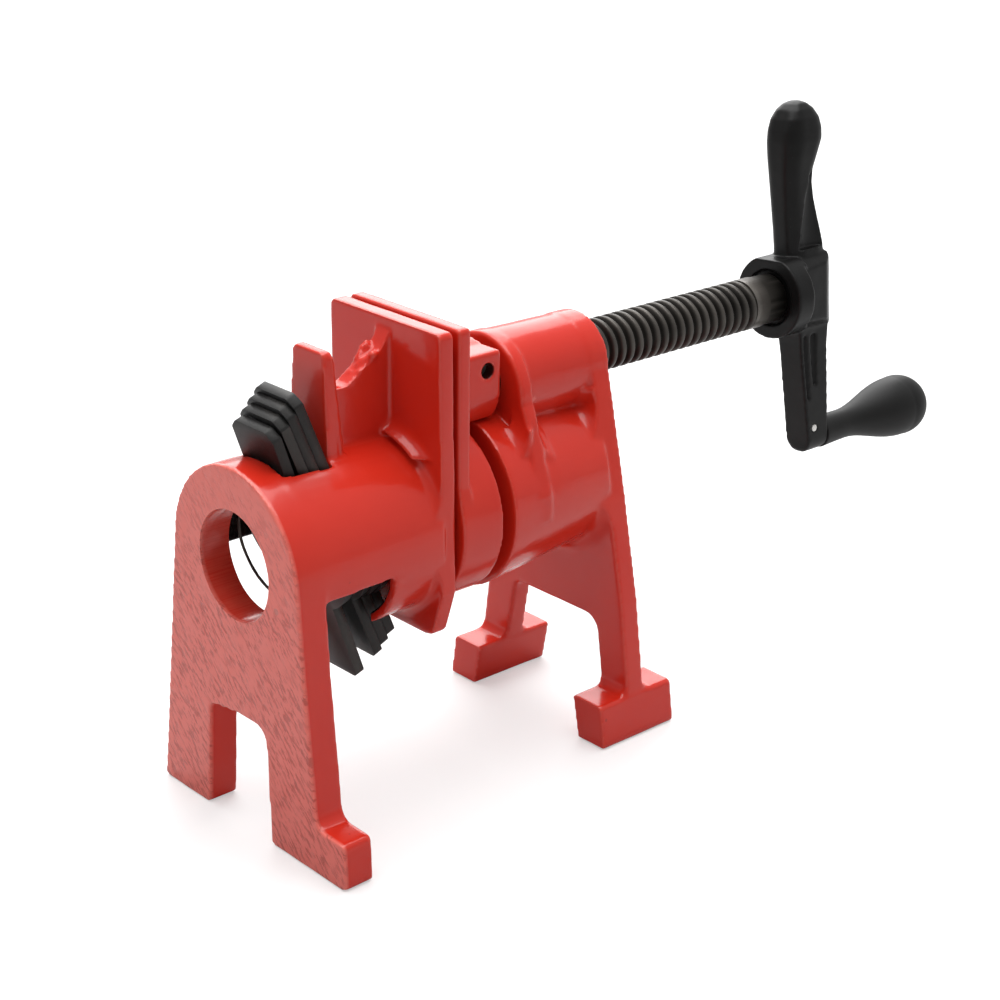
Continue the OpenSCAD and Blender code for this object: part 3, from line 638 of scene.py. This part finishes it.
slide = casting_blank("sliding_jaw", "slide_casting")
weld(slide, [rod(slide_x, slide_ring_end - slide_x, 14.4),
             rod(slide_x + boss_floor, boss_end - slide_x - boss_floor, 6.4, z=screw_z)])
cast_skin(slide, grain=0.45, passes=5, size=8.0, depth=0.18, seed=2, faces=110000)
pin_hole = rod(-12.0, 24.0, pin_hole_r, sides=48)
only(pin_hole)
pin_hole.rotation_euler = (0, 0, math.pi / 2)
pin_hole.location = (pin_hole_x * mm, 0, pin_hole_z * mm)
bpy.ops.object.transform_apply(location=True, rotation=True, scale=True)
cut_out(slide, rod(slide_x - 1, slide_ring_end - slide_x + 2, pipe_hole_r, sides=160))
cut_out(slide, rod(slide_x + 5.7, boss_end - slide_x, boss_hole_r, z=screw_z))
cut_out(slide, pin_hole)
# The drilled pin hole is painted near-black inside as shade.
drilled_hole = ((0.069, 0, 0.0356), (1, 0, 1), 0.0019, (0.06, 0.08))
slide_red = red_enamel("red_enamel_slide", drilled_hole)
finish_piece(slide, "sliding_jaw_casting", "sliding_jaw", slide_red, ["sliding_jaw"])

# ---------------------------------------------------------------- Retaining pin
# A plain steel pin driven across the boss. It lies in the screw's groove, so
# the screw can turn but cannot leave the sliding jaw.

pin_steel = steel_finish(
    "dark_pin_steel", dark=(0.05, 0.045, 0.04, 1), light=(0.09, 0.082, 0.075, 1),
    edge_tone=(0.2, 0.18, 0.16, 1), metallic=0.8, rough_from=0.35, rough_to=0.5, bump_depth=0.03)
keep_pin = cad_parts["screw_retaining_pin"]
keep_pin.data.materials.clear()
keep_pin.data.materials.append(pin_steel)

# ---------------------------------------------------------------- Head casting
# The head is one iron casting: the threaded pipe barrel, the screw barrel
# over it, a rib plate in front, a leg plate behind and two T-shaped feet. Its
# pipe thread is modelled as rings, not as a spiral.

head_x = 67.5
rib_x = 76.5
head_end = 109.0
pipe_thread_len = 27.0
pipe_thread_pitch = 1.814
head_core_r = 9.5
screw_hole_r = 7.2
saddle_r = 22.3
saddle_size = 5.0
saddle_y = (11.6, 18.2)
skirt_y = (12.0, 22.4)
skirt_z = (-3.0, 26.0)
skirt_t = 4.0
skirt_lean = 0.33

head = casting_blank("head", "head_casting")
extras = [rod(head_x, head_end - head_x, 12.6), rod(rib_x, head_end - rib_x, 7.8, z=screw_z)]
# Each side has a saddle of metal where the rib meets the pipe barrel, and a
# leaning skirt that carries the rib down the barrel's flank.
for side in (-1, 1):
    saddle = corner_fillet(rib_x, -1, saddle_r, saddle_size)
    keep_part(saddle, (0, side * saddle_y[0], 0), (0, side, 0))
    keep_part(saddle, (0, side * saddle_y[1], 0), (0, -side, 0))
    keep_part(saddle, (0, 0, 7.0), (0, 0, 1))
    skirt_ends = sorted(side * y for y in skirt_y)
    skirt = block((rib_x, skirt_ends[0], skirt_z[0]),
                  (rib_x + skirt_t, skirt_ends[1], skirt_z[1]))
    keep_part(skirt, (0, side * 15.0, skirt_z[1]), (0, -side, -skirt_lean))
    extras += [saddle, skirt]
weld(head, extras)
cast_skin(head, grain=0.55, passes=6, size=9.0, depth=0.22, seed=3, faces=190000)
thread_hole = [(head_x - 1, 0.0), (head_x - 1, 13.4)]
for turn in range(int(pipe_thread_len / pipe_thread_pitch)):
    along = head_x + turn * pipe_thread_pitch
    thread_hole += [(along + 0.15, 13.2), (along + pipe_thread_pitch / 2, 12.15)]
thread_hole += [(head_x + pipe_thread_len, 12.1), (head_x + pipe_thread_len, head_core_r),
                (head_end + 1, head_core_r), (head_end + 1, 0.0)]
cut_out(head, lathe(thread_hole, steps=96))
cut_out(head, rod(rib_x - 1, head_end - rib_x + 2, screw_hole_r, z=screw_z))
# The threaded bore is painted near-black inside as shade.
threaded_bore = ((0, 0, 0), (0, 1, 1), 0.0134, (0.0675, 0.109))
head_red = red_enamel("red_enamel_head", threaded_bore)
finish_piece(head, "head_casting", "head", head_red, ["head"])

# ---------------------------------------------------------------- Screw
# A rolled right-handed screw of dark steel, with a plain end kept in the
# boss by a groove and a plain shank under the crank's collar.

screw_pitch = 3.175
crest_r = 7.15
root_r = 5.75
thread_from = 73.3
thread_to = 172.0
end_lap = 0.4
shank_lap = 0.3

screw = casting_blank("screw", "screw_end")
keep_part(screw, (thread_from + end_lap, 0, 0), (-1, 0, 0))
shank = casting_blank("screw", "screw_shank")
keep_part(shank, (thread_to - shank_lap, 0, 0), (1, 0, 0))

# One turn's outline is drawn two turns early, wound past the far end and
# then cut square at both ends.
nothing_selected()
bpy.ops.mesh.primitive_plane_add(size=mm, location=(0, 0, 0))
thread = bpy.context.object
bpy.ops.object.mode_set(mode="EDIT")
bpy.ops.mesh.select_all(action="SELECT")
bpy.ops.mesh.merge(type="CENTER")
thread_profile = [(0.0, root_r), (0.22, root_r + 0.06), (0.44, root_r + 0.36), (0.80, crest_r - 0.42),
                  (1.02, crest_r - 0.1), (1.22, crest_r), (1.9, crest_r), (2.1, crest_r - 0.1),
                  (2.32, crest_r - 0.42), (2.68, root_r + 0.36), (2.92, root_r + 0.06),
                  (screw_pitch, root_r)]
start_x = thread_from - 2 * screw_pitch
at_x, at_r = thread_profile[0]
bpy.ops.transform.translate(value=((start_x + at_x) * mm, 0, at_r * mm))
for next_x, next_r in thread_profile[1:]:
    bpy.ops.mesh.extrude_region_move(
        TRANSFORM_OT_translate={"value": ((next_x - at_x) * mm, 0, (next_r - at_r) * mm)})
    at_x, at_r = next_x, next_r
bpy.ops.object.mode_set(mode="OBJECT")
thread_turns = int((thread_to - thread_from) / screw_pitch) + 4
modifier(thread, "SCREW", axis="X", angle=2 * math.pi, screw_offset=screw_pitch * mm,
         iterations=thread_turns, steps=72, render_steps=72, use_merge_vertices=True,
         merge_threshold=0.000001)
only(thread)
bpy.ops.object.mode_set(mode="EDIT")
bpy.ops.mesh.select_all(action="SELECT")
bpy.ops.mesh.remove_doubles(threshold=0.000002)
bpy.ops.mesh.normals_make_consistent(inside=False)
bpy.ops.object.mode_set(mode="OBJECT")
keep_part(thread, (thread_from, 0, 0), (1, 0, 0))
keep_part(thread, (thread_to, 0, 0), (-1, 0, 0))
thread.location = (0, 0, screw_z * mm)
only(thread)
bpy.ops.object.transform_apply(location=True, rotation=True, scale=True)
weld(screw, [thread, shank])
# Its thread crests turn to a lighter tone: worn metal, and a painted highlight along them.
screw_steel = steel_finish(
    "oiled_screw_steel", dark=(0.008, 0.007, 0.006, 1), light=(0.02, 0.017, 0.014, 1),
    edge_tone=(0.22, 0.20, 0.18, 1), metallic=0.55, rough_from=0.3, rough_to=0.5, bump_depth=0.03,
    edges=(0.5, 0.58))
finish_piece(screw, "screw_with_thread", "screw_and_crank", screw_steel, ["screw"],
             smooth=50)

# ---------------------------------------------------------------- Crank handle
# One malleable-iron casting in black enamel: a collar against the screw's
# shank, a square hub, a rounded grip above and the knob's arm below.

crank_lean = math.radians(-5)
collar_x = 184.0
crank_back = 204.5
crank_throw = 44.0
knob_y = crank_throw * math.sin(crank_lean)
knob_z = screw_z - crank_throw * math.cos(crank_lean)


def onto_crank(piece):
    """Carries a piece made upright at the origin to the crank's lean and height."""
    only(piece)
    piece.rotation_euler = (crank_lean, 0, 0)
    piece.location = (0, 0, screw_z * mm)
    bpy.ops.object.transform_apply(location=True, rotation=True, scale=True)
    return piece


crank = casting_blank("crank_handle", "crank_casting")
pin_up = 3.3
pin_x = crank_back - 6.0
pin_bore_r = 1.01
stem_bore_r = 3.05
shank_bore_r = 5.61
cross_pin = rod(-10.0, 20.0, pin_bore_r, sides=32)
only(cross_pin)
cross_pin.rotation_euler = (0, 0, math.pi / 2)
bpy.ops.object.transform_apply(location=True, rotation=True, scale=True)
cross_pin.location = (pin_x * mm, 0, (pin_up - crank_throw) * mm)
bpy.ops.object.transform_apply(location=True, rotation=True, scale=True)
onto_crank(cross_pin)
# The CAD's grip comes off above the hub, and a rounder one is drawn up ring by
# ring. A ring holds its height, its front and back in x, and its half width.
keep_part(crank, (0, 0.94, screw_z + 10.76), (0, math.sin(crank_lean), -math.cos(crank_lean)))
grip_rings = [(9.0, 189.6, 204.4, 5.1), (13.0, 189.5, 204.3, 5.0), (19.0, 189.0, 202.6, 4.8),
              (26.0, 188.5, 200.4, 4.8), (31.0, 188.2, 199.4, 5.0), (35.0, 188.0, 199.6, 5.3),
              (39.0, 187.9, 201.3, 5.8), (43.0, 187.9, 203.0, 6.1), (46.0, 188.2, 203.0, 6.0),
              (49.0, 189.2, 202.2, 5.5), (51.5, 190.9, 200.5, 4.3), (53.0, 192.8, 198.5, 2.9),
              (53.7, 194.6, 196.8, 1.2)]
nothing_selected()
bpy.ops.mesh.primitive_plane_add(size=2 * mm, location=(0, 0, 0))
grip = bpy.context.object
bpy.ops.object.mode_set(mode="EDIT")
bpy.ops.mesh.select_all(action="SELECT")
bpy.ops.mesh.bevel(offset=0.7 * mm, segments=8, affect="VERTICES")
bpy.ops.mesh.select_all(action="SELECT")
at_z, at_front, at_back, at_half = 0.0, -1.0, 1.0, 1.0
for ring_z, front, back, half in grip_rings:
    middle = ((at_front + at_back) / 2, (front + back) / 2)
    if ring_z == grip_rings[0][0]:
        bpy.ops.transform.translate(value=((middle[1] - middle[0]) * mm, 0, (ring_z - at_z) * mm))
    else:
        bpy.ops.mesh.extrude_region_move(
            TRANSFORM_OT_translate={"value": ((middle[1] - middle[0]) * mm, 0, (ring_z - at_z) * mm)})
    bpy.ops.transform.resize(value=((back - front) / (at_back - at_front), half / at_half, 1.0),
                             center_override=(middle[1] * mm, 0, ring_z * mm))
    at_z, at_front, at_back, at_half = ring_z, front, back, half
bpy.ops.mesh.select_all(action="SELECT")
bpy.ops.mesh.normals_make_consistent(inside=False)
bpy.ops.object.mode_set(mode="OBJECT")
onto_crank(grip)
# A shallow tapering hollow runs up each side of the grip.
hollow_x = crank_back - 7.4
hollow_side_y = 4.5
hollow_z = 25.5
for side in (-1, 1):
    nothing_selected()
    bpy.ops.mesh.primitive_cone_add(
        vertices=64, radius1=5.0 * mm, radius2=0.3 * mm, depth=26.0 * mm,
        location=(hollow_x * mm, side * hollow_side_y * mm, hollow_z * mm))
    hollow = bpy.context.object
    hollow.scale = (1.0, 0.36, 1.0)
    bpy.ops.object.transform_apply(location=True, rotation=True, scale=True)
    cut_out(grip, onto_crank(hollow))
# The hub narrows towards its back, gently and then steeply: where each taper
# starts in x, the hub's half width there, and the slope.
hub_tapers = ((collar_x + 7.2, 7.65, 0.08), (collar_x + 17.5, 6.75, 0.6))
for side in (-1, 1):
    ends = sorted((side * 4.7, side * 12.0))
    for taper_x, half_width, slope in hub_tapers:
        hub_side = block((collar_x + 6.5, ends[0], -10.0), (crank_back + 1, ends[1], 10.0))
        keep_part(hub_side, (taper_x, side * half_width, 0), (slope, side, 0))
        cut_out(crank, onto_crank(hub_side))
stem_plug = rod(crank_back - 8.5, 8.4, 3.6, y=knob_y, z=knob_z)
shank_plug = rod(collar_x + 1.2, 17.0, 6.2, z=screw_z)
weld(crank, [stem_plug, shank_plug, grip])
cast_skin(crank, grain=0.32, passes=12, size=6.0, depth=0.14, seed=4, faces=120000)
cut_out(crank, rod(crank_back - 8.4, 9.4, stem_bore_r, y=knob_y, z=knob_z, sides=64))
cut_out(crank, rod(collar_x - 1, 18.5, shank_bore_r, z=screw_z))
cut_out(crank, cross_pin)


def black_enamel(name, rough_from, rough_to, gloss, coat):
    """Black enamel with slow waves and a few rubbed edges."""
    paint = bpy.data.materials.new(name)
    paint.use_nodes = True
    tree = paint.node_tree
    shader = tree.nodes["Principled BSDF"]
    skin = new_node(tree, "ShaderNodeGroup", node_tree=cast_surface)
    skin.inputs["Wave"].default_value = 0.5
    skin.inputs["Peel"].default_value = 0.12
    skin.inputs["Pits"].default_value = 0.0
    deep_black = (0.004, 0.004, 0.004, 1)
    soft_black = (0.011, 0.0105, 0.0105, 1)
    rubbed_grey = (0.04, 0.038, 0.036, 1)
    tone = new_node(tree, "ShaderNodeMix",
                    {"Factor": skin.outputs["Cloud"], "A": deep_black, "B": soft_black},
                    data_type="RGBA")
    lit = new_node(tree, "ShaderNodeMix",
                   {"Factor": edge_mask(tree, 0.62, 0.8), "A": tone.outputs["Result"],
                    "B": rubbed_grey}, data_type="RGBA")
    tree.links.new(lit.outputs["Result"], shader.inputs["Base Color"])
    rough = new_node(tree, "ShaderNodeMapRange",
                     {"Value": skin.outputs["Cloud"], "To Min": rough_from, "To Max": rough_to})
    tree.links.new(rough.outputs[0], shader.inputs["Roughness"])
    shader.inputs["Specular IOR Level"].default_value = gloss
    shader.inputs["Coat Weight"].default_value = coat
    shader.inputs["Coat Roughness"].default_value = 0.2
    bump = new_node(tree, "ShaderNodeBump", {"Height": skin.outputs["Height"], "Strength": 0.4,
                                             "Distance": 0.2 * mm})
    tree.links.new(bump.outputs["Normal"], shader.inputs["Normal"])
    return paint


crank_black = black_enamel("black_enamel_crank", rough_from=0.3, rough_to=0.46, gloss=0.17,
                           coat=0.03)
finish_piece(crank, "crank_casting", "screw_and_crank", crank_black,
             ["crank_handle"])

# ---------------------------------------------------------------- Crank knob and its pin
# The knob is a turned teardrop in black enamel, free to spin on its stem. A
# bright steel pin across the arm lies in the stem's groove and keeps it in.

knob_reach = 37.5
knob_ball_r = 9.1
knob_neck_r = 4.3
stem_r = 3.0
stem_end_x = -8.3
groove_r = 2.25
groove_x = (-7.15, -4.85)
lip = 0.35
swell_from = 10.5
swell_len = knob_reach - 12.6
ball_turn = 105
knob_profile = [(stem_end_x, 0.0), (stem_end_x, 2.7), (-8.0, stem_r), (groove_x[0], stem_r),
                (groove_x[0], groove_r), (groove_x[1], groove_r), (groove_x[1], stem_r),
                (0.05, stem_r), (0.08, knob_neck_r), (lip, knob_neck_r + lip)]
for step in range(1, 41):
    t = step / 40
    along = lip + t * (knob_reach - 2.45)
    rise = min(1.0, max(0.0, (along - swell_from) / swell_len))
    knob_profile.append((along, knob_neck_r + 0.4 * (1 - t) ** 6
                         + (knob_ball_r * 0.985 - knob_neck_r) * rise * rise * (3 - 2 * rise)))
for step in range(1, 25):
    turned = math.radians(ball_turn - step * ball_turn / 24)
    knob_profile.append((knob_reach + knob_ball_r * math.cos(turned), knob_ball_r * math.sin(turned)))
knob = lathe([(crank_back + x, r) for x, r in knob_profile], y=knob_y, z=knob_z, steps=96)
knob_black = black_enamel("black_enamel_knob", rough_from=0.42, rough_to=0.55, gloss=0.22,
                          coat=0.0)
finish_piece(knob, "turning_knob", "knob", knob_black, ["crank_knob"], smooth=40)

bright_steel = steel_finish(
    "bright_pin_steel", dark=(0.62, 0.60, 0.57, 1), light=(0.75, 0.73, 0.70, 1),
    edge_tone=(0.85, 0.84, 0.82, 1), metallic=0.9, rough_from=0.25, rough_to=0.38, bump_depth=0.02)
bright_pin = casting_blank("knob_pin", "bright_pin")
modifier(bright_pin, "BEVEL", width=0.25 * mm, segments=3, limit_method="ANGLE",
         angle_limit=math.radians(40))
finish_piece(bright_pin, "knob_stem_pin", "screw_and_crank", bright_steel,
             ["knob_pin"], smooth=35)
